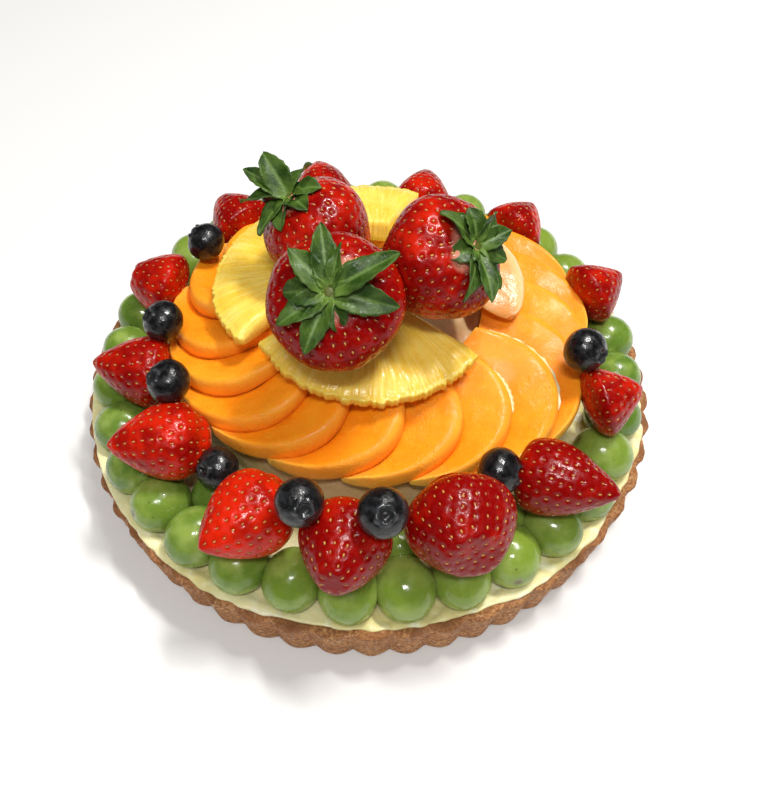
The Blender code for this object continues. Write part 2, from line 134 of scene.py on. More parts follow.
# Leaves of each crown: direction round the stem in degrees, length, width, how far the leaf stands
# off the berry at its root and at its tip in degrees, and its twist in degrees
LEAVES = (
    (
        (97, 0.0215, 0.0085, 6, 0, 10),
        (74, 0.0155, 0.0050, 22, 10, -40),
        (26, 0.0245, 0.0090, 16, 4, -25),
        (-13, 0.0220, 0.0100, 8, -6, 22),
        (-74, 0.0130, 0.0080, 2, -30, 0),
        (-113, 0.0205, 0.0085, 4, -20, -10),
        (-148, 0.0190, 0.0085, 8, -14, 14),
        (178, 0.0150, 0.0095, 4, -22, -8),
        (133, 0.0185, 0.0085, 12, 4, 18),
    ),
    (
        (100, 0.0190, 0.0100, 62, 40, 25),
        (140, 0.0200, 0.0070, 50, 46, -20),
        (172, 0.0185, 0.0080, 36, 12, 18),
        (215, 0.0175, 0.0075, 14, -28, -24),
        (250, 0.0150, 0.0080, 8, -38, 12),
        (300, 0.0140, 0.0085, 6, -36, -10),
        (345, 0.0135, 0.0080, 10, -34, 20),
        (45, 0.0150, 0.0080, 22, -10, -18),
    ),
    (
        (148, 0.0165, 0.0095, 8, -30, 26),
        (112, 0.0125, 0.0080, 24, -12, -28),
        (68, 0.0130, 0.0070, 34, 14, 34),
        (30, 0.0135, 0.0070, 42, 20, -34),
        (-12, 0.0125, 0.0070, 22, -6, 24),
        (-48, 0.0165, 0.0070, 12, -24, -26),
        (-82, 0.0200, 0.0065, 20, 0, 34),
        (-106, 0.0205, 0.0075, 8, -14, -28),
        (-150, 0.0120, 0.0080, 4, -34, 14),
    ),
)
LEAF_THICKNESS = 0.00035
LEAF_START = 0.0012
LEAF_WIDTH_SHARE = 0.80
CROWN_PLACE = 0.43
LEAF_FOLD = 0.40
LEAF_WAVE = 0.00060
STEM_RADIUS = 0.0020
STUMP = (
    (0.0044, 0.0), (0.0041, 0.0011), (0.0028, 0.0015), (0.0019, 0.0010), (0.0014, 0.0014), (0.0006, 0.0015),
)

# Blueberries: directions their crowns face; the two at the front show theirs
BLUEBERRY_SIZE = 0.0158
BLUEBERRY_FLATNESS = 0.90
BLUEBERRY_CROWN_END = 1.4
BLUEBERRY_AIMS = {
    2: (0.10, -0.60, 0.85),
    3: (0.30, -0.72, 0.62),
}
BLUEBERRY_COUNT = 9

# Peach slices: where each skin edge starts round the mound, and its reach from the mound's centre
PEACH_TUCK = 0.0014
PEACH_GAP = 0.0002
PEACH_SKIN_HEIGHT = 0.0100
PEACHES = (
    (203, 0.0780), (222, 0.0765), (240, 0.0770), (259, 0.0750), (281, 0.0735), (303, 0.0730),
    (322, 0.0745), (341, 0.0790), (358, 0.0795), (378, 0.0770), (399, 0.0775), (419, 0.0780),
    (439, 0.0780), (459, 0.0770), (480, 0.0765), (501, 0.0765), (522, 0.0775), (543, 0.0785),
)
PEACH_CURVE = (
    (0.46, -1.0), (0.54, -0.5), (0.62, 0.0), (0.70, -1.0), (0.77, -3.0), (0.84, -6.5),
    (0.90, -11.5), (0.95, -18.0), (0.985, -25.5), (1.0, -33.0), (0.990, -39.0), (0.965, -44.0),
    (0.920, -49.0), (0.860, -53.0),
)
PEACH_SECTION = ((0.0, 0.0), (0.0, 0.22), (0.55, 0.72), (0.90, 1.0), (1.0, 0.55), (0.94, 0.0), (0.5, 0.0))

# Cream pressed up along a slice's skin edge: number of the slice, first and last share, thickness
CREAM_SLIVERS = ((8, 0.04, 0.46, 0.0013), (7, 0.16, 0.34, 0.0010), (10, 0.02, 0.16, 0.0014))
SLIVER_RISE = 0.0068
SLIVER_OUT = -0.0006

# Pineapple pieces: centre, first and last angle, radius, direction and degrees of the lean
PINEAPPLE_CORE = 0.013
PINEAPPLE_THICKNESS = 0.009
PINEAPPLE_END = 0.0035
PINEAPPLE_EDGE_ROUND = 0.0012
PINEAPPLE_RIM = 0.009
PINEAPPLES = (
    ((0.002, -0.004), 208, 324, 0.046, 270, 10),
    ((-0.015, 0.009), 107, 226, 0.045, 168, 10),
    ((0.003, 0.022), 66, 115, 0.045, 78, 10),
)
PALE_SLICE_LENGTH = 0.042
PALE_SLICE_WIDTH = 0.026
PALE_SLICE_THICKNESS = 0.010
PALE_SLICE_TURN = -76
PALE_SLICE_LEAN = (5, 20)

# Floor and light. Lamps: name, place, size, watts, colour
FLOOR_REACH = 6.0
FLOOR_HEIGHT = -0.0002
WORLD_STRENGTH = 0.35
LAMP_TARGET = (0, 0, 0.03)
LAMPS = (
    ("ceiling_tube_1", (0.36, 0.17, 1.16), (0.26, 0.08), 9.2, (1.0, 0.98, 0.95)),
    ("ceiling_tube_2", (0.20, 0.30, 1.25), (0.30, 0.09), 3.2, (1.0, 0.98, 0.95)),
    ("front_fill", (-0.02, -0.46, 1.05), (0.30, 0.09), 5.4, (1.0, 1.0, 1.0)),
)

# Camera, from the photograph's framing
CAMERA_DISTANCE = 0.364
CAMERA_ELEVATION = math.radians(53.7)
CAMERA_LENS = 37.3
CAMERA_SHIFT = (0.0199, 0.0079)


def linear(*colour):
    """Scene colour of a screen colour given as red, green and blue from 0 to 255."""
    shares = [part / 255 for part in colour]
    return [s / 12.92 if s <= 0.04045 else ((s + 0.055) / 1.055) ** 2.4 for s in shares] + [1.0]


class Look:
    """A material whose colour, relief and shine come from nodes."""

    def __init__(self, name, roughness=0.5, **sockets):
        self.material = bpy.data.materials.new(name)
        self.material.use_nodes = True
        self.tree = self.material.node_tree
        self.shader = self.tree.nodes["Principled BSDF"]
        self.shader.inputs["Roughness"].default_value = roughness
        for socket, value in sockets.items():
            self.shader.inputs[socket.replace("_", " ")].default_value = value
        self.place = self.tree.nodes.new("ShaderNodeTexCoord").outputs["Object"]

    def wire(self, source, socket):
        if isinstance(source, bpy.types.NodeSocket):
            self.tree.links.new(source, socket)
        else:
            socket.default_value = source

    def noise(self, size, detail=2.0, rough=0.5, warp=0.0):
        """Noise whose features are about size across, from 0 to 1."""
        made = self.tree.nodes.new("ShaderNodeTexNoise")
        made.inputs["Scale"].default_value = 1 / size
        made.inputs["Detail"].default_value = detail
        made.inputs["Roughness"].default_value = rough
        made.inputs["Distortion"].default_value = warp
        self.wire(self.place, made.inputs["Vector"])
        return made.outputs["Fac"]

    def cells(self, size):
        """Distance to the nearest of scattered points that are about size apart."""
        made = self.tree.nodes.new("ShaderNodeTexVoronoi")
        made.inputs["Scale"].default_value = 1 / size
        self.wire(self.place, made.inputs["Vector"])
        return made.outputs["Distance"]

    def value(self, name):
        """A value stored with the mesh's points."""
        made = self.tree.nodes.new("ShaderNodeAttribute")
        made.attribute_name = name
        return made.outputs["Fac"]

    def math(self, operation, a, b=0.0):
        made = self.tree.nodes.new("ShaderNodeMath")
        made.operation = operation
        self.wire(a, made.inputs[0])
        self.wire(b, made.inputs[1])
        return made.outputs[0]

    def span(self, source, low, high, to_low=0.0, to_high=1.0):
        """The source from low to high, spread smoothly from to_low to to_high."""
        made = self.tree.nodes.new("ShaderNodeMapRange")
        made.interpolation_type = "SMOOTHSTEP"
        for socket, number in zip(made.inputs[1:5], (low, high, to_low, to_high)):
            socket.default_value = number
        self.wire(source, made.inputs[0])
        return made.outputs[0]

    def patches(self, size, detail, *limits, rough=0.5):
        """Noise, spread out between limits as in span."""
        return self.span(self.noise(size, detail, rough), *limits)

    def mix(self, share, a, b):
        made = self.tree.nodes.new("ShaderNodeMix")
        made.data_type = "RGBA"
        self.wire(share, made.inputs["Factor"])
        self.wire(a, made.inputs[6])
        self.wire(b, made.inputs[7])
        return made.outputs[2]

    def colour(self, source):
        self.wire(source, self.shader.inputs["Base Color"])

    def rough(self, source):
        self.wire(source, self.shader.inputs["Roughness"])

    def relief(self, source, depth):
        """Fine relief of this depth in metres, on top of any set before."""
        made = self.tree.nodes.new("ShaderNodeBump")
        made.inputs["Strength"].default_value = 1.0
        made.inputs["Distance"].default_value = depth
        self.wire(source, made.inputs["Height"])
        before = self.shader.inputs["Normal"].links
        if before:
            self.wire(before[0].from_socket, made.inputs["Normal"])
        self.wire(made.outputs["Normal"], self.shader.inputs["Normal"])
        if self.shader.inputs["Coat Weight"].default_value > 0:
            self.wire(made.outputs["Normal"], self.shader.inputs["Coat Normal"])


def crust_look():
    look = Look("baked_crust", 0.62, Specular_IOR_Level=0.35)
    crumbs = look.noise(0.0011, 4, 0.65)
    base = look.mix(look.patches(0.018, 3, 0.35, 0.68), linear(206, 150, 94), linear(178, 120, 70))
    base = look.mix(look.span(crumbs, 0.40, 0.60), linear(136, 86, 48), base)
    base = look.mix(look.patches(0.0019, 3, 0.60, 0.74, rough=0.6), base, linear(232, 188, 132))
    toasted = look.math("MULTIPLY", look.value("edge"), look.patches(0.009, 2, 0.30, 0.70, 0.35, 0.9))
    look.colour(look.mix(toasted, base, linear(126, 78, 44)))
    look.rough(look.patches(0.0016, 2, 0.45, 0.75, 0.78, 0.30))
    look.relief(look.noise(0.0030, 4, 0.6), 0.0008)
    look.relief(crumbs, 0.0004)
    return look.material


def custard_look():
    look = Look(
        "custard", 0.42, Specular_IOR_Level=0.45,
        Subsurface_Weight=0.25, Subsurface_Scale=0.004, Subsurface_Radius=(1.0, 0.7, 0.3),
    )
    base = look.mix(look.patches(0.030, 2, 0.38, 0.62), linear(240, 228, 176), linear(228, 214, 148))
    base = look.mix(look.patches(0.006, 3, 0.50, 0.75), base, linear(250, 244, 208))
    # Painted shade with a juice tint on the mound under the peach slices
    look.colour(look.mix(look.value("juice_and_shade"), base, linear(198, 154, 112)))
    look.relief(look.noise(0.0045, 3), 0.0006)
    look.relief(look.noise(0.0012, 2), 0.00012)
    return look.material


def grape_look():
    look = Look(
        "green_grape", 0.22, Specular_IOR_Level=0.4, Coat_Weight=0.20, Coat_Roughness=0.08,
        Subsurface_Weight=0.45, Subsurface_Scale=0.006, Subsurface_Radius=(0.7, 1.0, 0.25),
    )
    base = look.mix(look.value("tone"), linear(92, 124, 44), linear(128, 152, 54))
    base = look.mix(look.patches(0.010, 2, 0.40, 0.66), base, linear(142, 164, 76))
    base = look.mix(look.patches(0.0042, 3, 0.52, 0.75, 0.0, 0.22), base, linear(150, 172, 112))
    base = look.mix(look.span(look.cells(0.0062), 0.045, 0.075, 0.8, 0.0), base, linear(86, 92, 44))
    look.colour(look.mix(look.value("scar"), base, linear(112, 96, 58)))
    look.rough(look.patches(0.0030, 3, 0.40, 0.70, 0.16, 0.36))
    look.relief(look.noise(0.0035, 3), 0.00012)
    return look.material


def strawberry_look():
    look = Look(
        "strawberry", 0.26, Specular_IOR_Level=0.22, Coat_Weight=0.14, Coat_Roughness=0.07,
        Subsurface_Weight=0.08, Subsurface_Scale=0.002, Subsurface_Radius=(1.0, 0.25, 0.12),
    )
    tone = look.math("ADD", look.value("tone"), look.patches(0.008, 3, 0.30, 0.70, -0.30, 0.30))
    base = look.mix(look.span(tone, 0.0, 1.0), linear(130, 4, 3), linear(206, 32, 4))
    base = look.mix(look.patches(0.0022, 3, 0.50, 0.72, 0.0, 0.30), base, linear(166, 14, 6))
    # Painted shade: the flesh is darker inside each seed pit
    base = look.mix(look.span(look.value("pit"), 0.15, 0.95, 0.0, 0.60), base, linear(102, 4, 5))
    look.colour(look.mix(look.value("pale"), base, linear(236, 170, 140)))
    look.rough(look.patches(0.0016, 2, 0.35, 0.70, 0.18, 0.38))
    look.relief(look.noise(0.0009, 2), 0.00010)
    return look.material


def seed_look():
    look = Look("strawberry_seed", 0.35, Specular_IOR_Level=0.5)
    base = look.mix(look.patches(0.005, 2, 0.40, 0.62), linear(194, 132, 54), linear(156, 62, 26))
    look.colour(look.mix(look.patches(0.0004, 2, 0.45, 0.70), base, linear(210, 164, 86)))
    look.relief(look.noise(0.0003, 2), 0.00004)
    return look.material


def blueberry_look():
    look = Look("blueberry", 0.30, Specular_IOR_Level=0.4, Coat_Weight=0.30, Coat_Roughness=0.10)
    bloom = look.span(look.noise(0.0034, 4, 0.6, warp=0.6), 0.46, 0.72)
    base = look.mix(bloom, linear(17, 17, 18), linear(44, 45, 47))
    base = look.mix(look.value("rim"), base, linear(70, 74, 78))
    look.colour(look.mix(look.value("cup"), base, linear(38, 36, 36)))
    look.rough(look.patches(0.0022, 3, 0.35, 0.70, 0.20, 0.48))
    look.relief(look.noise(0.0024, 3), 0.00025)
    look.relief(look.noise(0.0007, 2), 0.00006)
    return look.material


def peach_look():
    look = Look(
        "peach", 0.34, Specular_IOR_Level=0.18, Coat_Weight=0.16, Coat_Roughness=0.09,
        Subsurface_Weight=0.25, Subsurface_Scale=0.005, Subsurface_Radius=(1.0, 0.60, 0.15),
    )
    tone = look.math("ADD", look.value("tone"), look.patches(0.012, 3, 0.30, 0.70, -0.35, 0.35))
    base = look.mix(look.span(tone, 0.0, 1.0), linear(250, 146, 20), linear(254, 162, 32))
    base = look.mix(look.patches(0.0016, 3, 0.50, 0.78, 0.0, 0.25, rough=0.55), base, linear(255, 184, 66))
    # Paler outer tips, plus a painted highlight along the crest of each slice's skin edge
    look.colour(look.mix(look.value("tip"), base, linear(255, 200, 84)))
    look.rough(look.patches(0.0008, 2, 0.35, 0.70, 0.30, 0.50))
    look.relief(look.noise(0.0060, 3), 0.0003)
    wet = look.patches(0.010, 3, 0.46, 0.62, 0.25, 1.0)
    look.relief(look.math("MULTIPLY", wet, look.noise(0.0008, 3, 0.6)), 0.00040)
    return look.material


def pale_peach_look():
    look = Look(
        "pale_peach", 0.32, Specular_IOR_Level=0.5, Coat_Weight=0.3, Coat_Roughness=0.16,
        Subsurface_Weight=0.40, Subsurface_Scale=0.006, Subsurface_Radius=(1.0, 0.7, 0.45),
    )
    base = look.mix(look.patches(0.012, 3, 0.35, 0.65), linear(232, 170, 98), linear(222, 150, 74))
    # Painted highlight along the crest of the slice
    look.colour(look.mix(look.value("tip"), base, linear(250, 206, 150)))
    look.relief(look.noise(0.0050, 3), 0.0005)
    look.relief(look.noise(0.0008, 3), 0.00012)
    return look.material


def pineapple_look():
    look = Look(
        "pineapple", 0.36, Specular_IOR_Level=0.35, Coat_Weight=0.15, Coat_Roughness=0.14,
        Subsurface_Weight=0.40, Subsurface_Scale=0.006, Subsurface_Radius=(1.0, 0.8, 0.2),
    )
    fibre = look.value("fibre")
    base = look.mix(look.patches(0.011, 3, 0.34, 0.66), linear(240, 198, 66), linear(252, 212, 92))
    base = look.mix(look.span(fibre, 0.45, 0.95, 0.0, 0.35), base, linear(255, 236, 140))
    base = look.mix(look.span(fibre, 0.0, 0.35, 0.22, 0.0), base, linear(222, 188, 44))
    look.colour(look.mix(look.value("rind"), base, linear(222, 196, 78)))
    look.rough(look.patches(0.0012, 2, 0.35, 0.70, 0.22, 0.50))
    look.relief(look.noise(0.0045, 3), 0.0004)
    look.relief(fibre, 0.00012)
    return look.material


def leaf_look():
    look = Look(
        "leaf", 0.46, Specular_IOR_Level=0.30,
        Subsurface_Weight=0.10, Subsurface_Scale=0.001, Subsurface_Radius=(0.5, 1.0, 0.2),
    )
    base = look.mix(look.patches(0.006, 3, 0.34, 0.66), linear(40, 66, 16), linear(70, 96, 32))
    base = look.mix(look.span(look.value("root"), 0.0, 1.0), base, linear(98, 126, 50))
    base = look.mix(look.value("vein"), base, linear(112, 140, 70))
    look.colour(look.mix(look.value("stem"), base, linear(86, 92, 36)))
    look.rough(look.patches(0.0025, 2, 0.35, 0.70, 0.32, 0.56))
    look.relief(look.noise(0.0011, 3), 0.00020)
    return look.material


def smooth_noise(points, size, seed=0.0):
    """Noise from -1 to 1 at each point, with features about size across."""
    shift = Vector((seed * 7.3, seed * 3.1, seed * 5.7))
    return np.array([noise.noise(Vector(point) / size + shift) for point in points])


def piece_from(name, points, faces, looks, values=None, face_looks=None, node=None):
    """A smooth mesh piece with its faces outwards. It rides on the frame and stands for its node."""
    points = np.asarray(points, float)
    mesh = bpy.data.meshes.new(name)
    mesh.from_pydata(points.tolist(), [], faces)
    mesh.shade_smooth()
    for look in looks:
        mesh.materials.append(look)
    if face_looks is not None:
        mesh.polygons.foreach_set("material_index", face_looks)
    for key, numbers in (values or {}).items():
        stored = mesh.attributes.new(key, "FLOAT", "POINT")
        stored.data.foreach_set("value", np.asarray(numbers, np.float32))
    made = bpy.data.objects.new(name, mesh)
    bpy.context.scene.collection.objects.link(made)
    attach(made, "root")
    if node is not None:
        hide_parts(node)
    return made


def loft_faces(rows, count, start=0, first=None, last=None, ends=False):
    """Faces of a tube of rings of count points, with its outside out, closed at points or flat."""
    final = start + (rows - 1) * count
    after = [(step + 1) % count for step in range(count)]
    faces = []
    for ring in range(start, final, count):
        faces += [(ring + a, ring + b, ring + b + count, ring + a + count) for a, b in enumerate(after)]
    if first is not None:
        faces += [(start + b, start + a, first) for a, b in enumerate(after)]
    if last is not None:
        faces += [(final + a, final + b, last) for a, b in enumerate(after)]
    if ends:
        faces += [tuple(range(start + count - 1, start - 1, -1)), tuple(range(final, final + count))]
    return faces


def outwards(points, faces, start=0):
    """The faces, turned over if they enclose a negative volume. The first point's number is start."""
    points = np.asarray(points, float)
    total = 0.0
    middle = points.mean(0)
    for face in faces:
        a = points[face[0] - start] - middle
        for k in range(1, len(face) - 1):
            b, c = points[face[k] - start] - middle, points[face[k + 1] - start] - middle
            total += a @ np.cross(b, c)
    return faces if total > 0 else [tuple(reversed(face)) for face in faces]


def bell(distance, width, power=2):
    """1 at the middle, falling off to nothing beyond width."""
    return np.exp(-((distance / width) ** power))


def ramp(value, low, high):
    """The share of the way from low to high, kept from 0 to 1."""
    return np.clip((value - low) / (high - low), 0, 1)


def circle(radius, height, count):
    turns = [math.tau * step / count for step in range(count)]
    return [Vector((radius * math.cos(turn), radius * math.sin(turn), height)) for turn in turns]


def ring_place(turn_degrees, radius):
    turn = math.radians(turn_degrees)
    return Vector((radius * math.cos(turn), radius * math.sin(turn), 0))


def lean_matrix(turn_degrees, lean_degrees):
    turn = math.radians(turn_degrees)
    axis = Vector((-math.sin(turn), math.cos(turn), 0))
    return Matrix.Rotation(math.radians(lean_degrees), 3, axis)


def box_middle(node):
    low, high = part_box(node)
    return np.array((low + high) / 2)


def place_like(node, points, turn):
    """The points turned and moved so that their box has the same middle as the node's."""
    turned = np.asarray(points) @ np.array(turn).T
    return turned + box_middle(node) - (turned.min(0) + turned.max(0)) / 2


def smoothed(line, times):
    """A closed line with its corners cut off, each time a quarter of the way along its sides."""
    line = np.asarray(line, float)
    for _ in range(times):
        after = np.roll(line, -1, 0)
        cuts = [line * 0.75 + after * 0.25, line * 0.25 + after * 0.75]
        line = np.stack(cuts, 1).reshape(-1, line.shape[1])
    return line


def inner_wall(height):
    lift = (height - CRUST_FLOOR) / (CRUST_HEIGHT - CRUST_FLOOR)
    return RIM_RADIUS - CRUST_FLARE * (1 - lift) - CRUST_WALL


def mound_point(turn_degrees, radius, height):
    place = ring_place(turn_degrees, radius)
    return MOUND_CENTRE + Vector((place.x * MOUND_STRETCH, place.y, height))


def bed_height(point):
    """Height of the bed the peaches lie on: the custard, carried on past the mound's shoulder."""
    offset = point - MOUND_CENTRE
    radius = math.hypot(offset.x / MOUND_STRETCH, offset.y)
    slopes = MOUND_PROFILE[SHOULDER:]
    for (r1, z1), (r2, z2) in zip(slopes, slopes[1:]):
        if radius >= r2:
            return z2 + (z1 - z2) * (radius - r2) / (r1 - r2)
    return slopes[-1][1]


def make_crust():
    """The shell: half round flutes with sharp notches, a thick broken lip and a sandy skin."""
    around = FLUTES * FLUTE_POINTS
    turns = np.arange(around) * math.tau / around
    flute = 1 - np.abs(np.cos(FLUTES * turns / 2 + 0.25 * np.sin(turns * 5)))
    inner = inner_wall(CRUST_HEIGHT)
    # The outer side from the foot up: share of the height, and how far in from the straight line
    side = [(0.0, 0.0016), (0.015, 0.0006), (0.06, 0.0001)]
    side += [(share, 0.0) for share in np.linspace(0.12, 0.93, 16)]
    # Rows of points up the side, over the lip and down inside: radius, height, share of the fluting
    rows = []
    for share, inward in side:
        rows.append((RIM_RADIUS - CRUST_FLARE * (1 - share) - inward, CRUST_HEIGHT * share, 1.0))
    for part in np.linspace(0, 1, 7):
        off_cos, off_sin = (LIP_ROUND * (1 - turned(part * math.pi / 2)) for turned in (math.cos, math.sin))
        rows.append((RIM_RADIUS - off_cos, CRUST_HEIGHT - off_sin, 1 - 0.4 * part))
    for part in np.linspace(0, 1, 6):
        off_cos, off_sin = (LIP_ROUND * (1 - turned(part * math.pi / 2)) for turned in (math.cos, math.sin))
        rows.append((inner + off_sin, CRUST_HEIGHT - off_cos, 0.4 * (1 - part)))
    rows += [(inner_wall(height), height, 0.0) for height in (0.019, 0.012, 0.006, CRUST_FLOOR)]
    points, edge = [], []
    for radius, height, depth in rows:
        radii = radius - FLUTE_DEPTH * depth * flute
        points.append(np.stack([radii * np.cos(turns), radii * np.sin(turns), np.full(around, height)], 1))
        edge.append(max(0.0, (height / CRUST_HEIGHT - 0.80) / 0.20) * (0.4 + 0.6 * (1 - flute)))
    points = np.concatenate(points)
    wander = smooth_noise(points, 0.006, 1)
    fine = smooth_noise(points, 0.0022, 2)
    lift = points[:, 2] / CRUST_HEIGHT
    inwards = np.clip(0.00045 + 0.00045 * wander + 0.00025 * fine, 0, 1) * np.clip(lift * 6, 0, 1)
    points[:, :2] *= 1 - (inwards / np.linalg.norm(points[:, :2], axis=1))[:, None]
    broken = smooth_noise(points * (1, 1, 0), 0.011, 3)
    points[:, 2] -= np.clip(ramp(lift, 0.8, 1.0) * (0.0006 + 0.0006 * broken + 0.0002 * fine), 0, 1)
    count = len(points)
    points = np.concatenate([points, [(0, 0, 0), (0, 0, CRUST_FLOOR)]])
    edge = np.concatenate(edge + [[0, 0]])
    faces = loft_faces(len(rows), around, 0, count, count + 1)
    piece_from("crust_shell", points, faces, [crust_look()], {"edge": edge}, node="crust")


def make_custard():
    """The cream: lumpy between the fruit, smeared up to and over the lip in places, and a mound."""
    angles = np.arange(CREAM_POINTS) * math.tau / CREAM_POINTS
    turns = np.degrees(angles)
    smear = np.array([noise.noise(Vector((math.cos(a) * 4, math.sin(a) * 4, 0.7))) for a in angles])
    fine = np.array([noise.noise(Vector((math.cos(a) * 16, math.sin(a) * 16, 4.2))) for a in angles])
    smear = np.clip(0.35 + 1.2 * smear + 0.9 * fine + 1.1 * bell(turns - CREAM_LAP_TURN, 19), 0, 1)
    inner = inner_wall(CRUST_HEIGHT)
    bottom = CRUST_FLOOR + GAP
    reach = inner - 0.0002 + CREAM_LAP * smear
    rings = []

    def ring(radii, heights):
        radii, heights = radii + 0 * angles, heights + 0 * angles
        rings.append(np.stack([radii * np.cos(angles), radii * np.sin(angles), heights], 1))

    ring(inner_wall(bottom) - 2 * GAP, bottom)
    ring(inner_wall(0.020) - GAP, 0.020)
    ring(inner - 0.0003, CRUST_HEIGHT - 0.0016 + 0.0009 * smear)
    ring(reach, CRUST_HEIGHT - 0.0011 + 0.0011 * smear)
    ring(reach - 0.0002, CRUST_HEIGHT - 0.0008 + 0.0014 * smear)
    ring(reach - 0.0007, CRUST_HEIGHT - 0.0006 + 0.0016 * smear)
    for inward in (0.0014, 0.0024, 0.0036, 0.0050, 0.0065, 0.0080):
        ring(inner - inward, CREAM_LEVEL + (0.0010 + 0.0014 * smear) * bell(inward - 0.0014, 0.0024))
    for radius in np.linspace(0.100, 0.0745, 14):
        ring(radius, CREAM_LEVEL)
    profile = np.array(MOUND_PROFILE + HUMP_PROFILE)
    for row in np.linspace(0, len(profile) - 1, 30):
        at = min(int(row), len(profile) - 2)
        radius, height = profile[at] + (profile[at + 1] - profile[at]) * (row - at)
        rings.append(np.array([tuple(mound_point(t, radius, height)) for t in turns]))
    points = np.concatenate(rings)
    lumps = 0.0010 * smooth_noise(points, 0.008, 5) + 0.0006 * smooth_noise(points, 0.0032, 6)
    lumps[: 2 * CREAM_POINTS] = 0
    points[:, 2] += lumps
    count = len(points)
    points = np.concatenate([points, [(0, 0, bottom), tuple(mound_point(0, 0, 0.0678))]])
    faces = loft_faces(len(rings), CREAM_POINTS, 0, count, count + 1)
    # Painted shade with a juice tint: the mound's side under the peach slices is darker towards the front and
    # the right
    juice_and_shade = 0.8 * ramp(points[:, 2], 0.026, 0.034) * ramp(points[:, 0] - 1.5 * points[:, 1], 0, 0.05)
    for number, first, last, thick in CREAM_SLIVERS:
        ridge, ridge_faces = cream_sliver(number, first, last, thick, len(points))
        points = np.concatenate([points, ridge])
        juice_and_shade = np.concatenate([juice_and_shade, np.zeros(len(ridge))])
        faces += ridge_faces
    looks = [custard_look()]
    piece_from("custard_filling", points, faces, looks, {"juice_and_shade": juice_and_shade}, node="custard")


def cream_sliver(number, first, last, thick, start):
    """A lumpy string of cream pressed up along part of a peach slice's skin edge."""
    turn, reach = PEACHES[number - 1]
    edge = skin_edge(turn, reach)
    rows, sides = 26, 12
    points = []
    for row in range(rows):
        part = row / (rows - 1)
        share = first + (last - first) * part
        spot = along(edge, share)
        ahead = (along(edge, share + 0.01) - spot).normalized()
        side = Vector((-ahead.y, ahead.x, 0))
        size = thick * (0.25 + 0.75 * math.sin(math.pi * part) ** 0.5)
        size *= 1 + 0.25 * math.sin(row * 1.9 + number)
        middle = spot + Vector((0, 0, bed_height(spot) + SLIVER_RISE)) + side * SLIVER_OUT
        for step in range(sides):
            angle = math.tau * step / sides
            up = Vector((0, 0, size * math.sin(angle)))
            points.append(tuple(middle + side * (size * math.cos(angle)) + up))
    return np.array(points), outwards(points, loft_faces(rows, sides, start, ends=True), start)


def make_grapes():
    """Each grape is an oval with a small stem scar at one end; all of them are one piece."""
    draw = random.Random(11)
    spots = []
    for index in range(GRAPE_COUNT):
        turn = FIRST_GRAPE_TURN + 360 * index / GRAPE_COUNT
        size = draw.uniform(0.99, 1.04)
        yaw = math.radians(turn) + draw.uniform(-0.45, 0.45)
        place = ring_place(turn, GRAPE_RING + draw.uniform(-0.0010, 0.0001))
        spots.append((place, yaw, GRAPE_WIDTH * size, GRAPE_LENGTH * size))
    for turn, radius in INNER_GRAPES:
        yaw = math.radians(turn) + draw.uniform(0.9, 1.6)
        spots.append((ring_place(turn, radius), yaw, INNER_GRAPE_WIDTH, INNER_GRAPE_LENGTH))
    rows, sides = 24, 34
    steps = [-1.0] + [-math.cos(math.pi * (row + 0.5) / rows) for row in range(rows)] + [1.0]
    lowest = CREAM_LEVEL - 0.001
    points, faces, tones, scars = [], [], [], []
    looks = random.Random(5)
    for place, yaw, width, length in spots:
        start = len(points)
        turn = Matrix.Rotation(yaw, 3, "Z") @ Matrix.Rotation(looks.uniform(-0.5, 0.5), 3, "Y")
        tone = looks.uniform(0.0, 1.0)
        scar_end = looks.choice((-1, 1))
        centre = place + Vector((0, 0, CREAM_LEVEL + width / 2 - GRAPE_SINK))
        for step in steps:
            out = math.sqrt(max(0.0, 1 - step**2)) ** 0.96
            from_end = out if step * scar_end > 0 else 1.0
            lengthwise = (step - 0.06 * scar_end * bell(from_end, 0.16)) * length / 2
            for angle in (0.0,) if abs(step) == 1 else np.arange(sides) * math.tau / sides:
                across, up = out * math.cos(angle) * width / 2, out * math.sin(angle) * width / 2
                spot = centre + turn @ Vector((lengthwise, across, up))
                points.append((spot.x, spot.y, max(spot.z, lowest)))
                tones.append(tone)
                scars.append(bell(from_end, 0.13, 4))
        faces += loft_faces(rows, sides, start + 1, start, len(points) - 1)
    points = np.array(points)
    points[:, 2] = np.maximum(points[:, 2] + 0.0002 * smooth_noise(points, 0.012, 8), lowest)
    one = rows * sides + 2
    if outwards(points[:one], [face for face in faces if max(face) < one])[0] != faces[0]:
        faces = [tuple(reversed(face)) for face in faces]
    values = {"tone": tones, "scar": scars}
    piece_from("grape_ring", points, faces, [grape_look()], values, node="grapes")


def berry_radius(share):
    """Half width of a strawberry at this share of its length, for a width of 1, as in the frame."""
    return 0.5 * np.abs(np.sin(math.pi * share**0.62)) ** 0.72


def berry_solid(length, width, first, last):
    """Points of the frame's strawberry, by which the one shown is placed."""
    rings, sides = 6, 12
    points = [((share - BERRY_MIDDLE) * length, 0, 0) for share in (0, 1) if share in (first, last)]
    for row in range(rings):
        share = first + (last - first) * (0.5 - 0.5 * math.cos(math.pi * (row + 0.5) / rings))
        if row == 0 and first > 0:
            share = first
        if row == rings - 1 and last < 1:
            share = last
        ring = circle(berry_radius(share) * width, (share - BERRY_MIDDLE) * length, sides)
        points += [(point.z, point.x, point.y) for point in ring]
    return np.array(points)


def evened(line, count):
    """The line with count points at even distances, and its length."""
    lengths = np.concatenate([[0], np.cumsum(np.linalg.norm(np.diff(line, axis=0), axis=1))])
    even = np.linspace(0, lengths[-1], count)
    return np.stack([np.interp(even, lengths, line[:, k]) for k in range(2)], 1), lengths[-1]


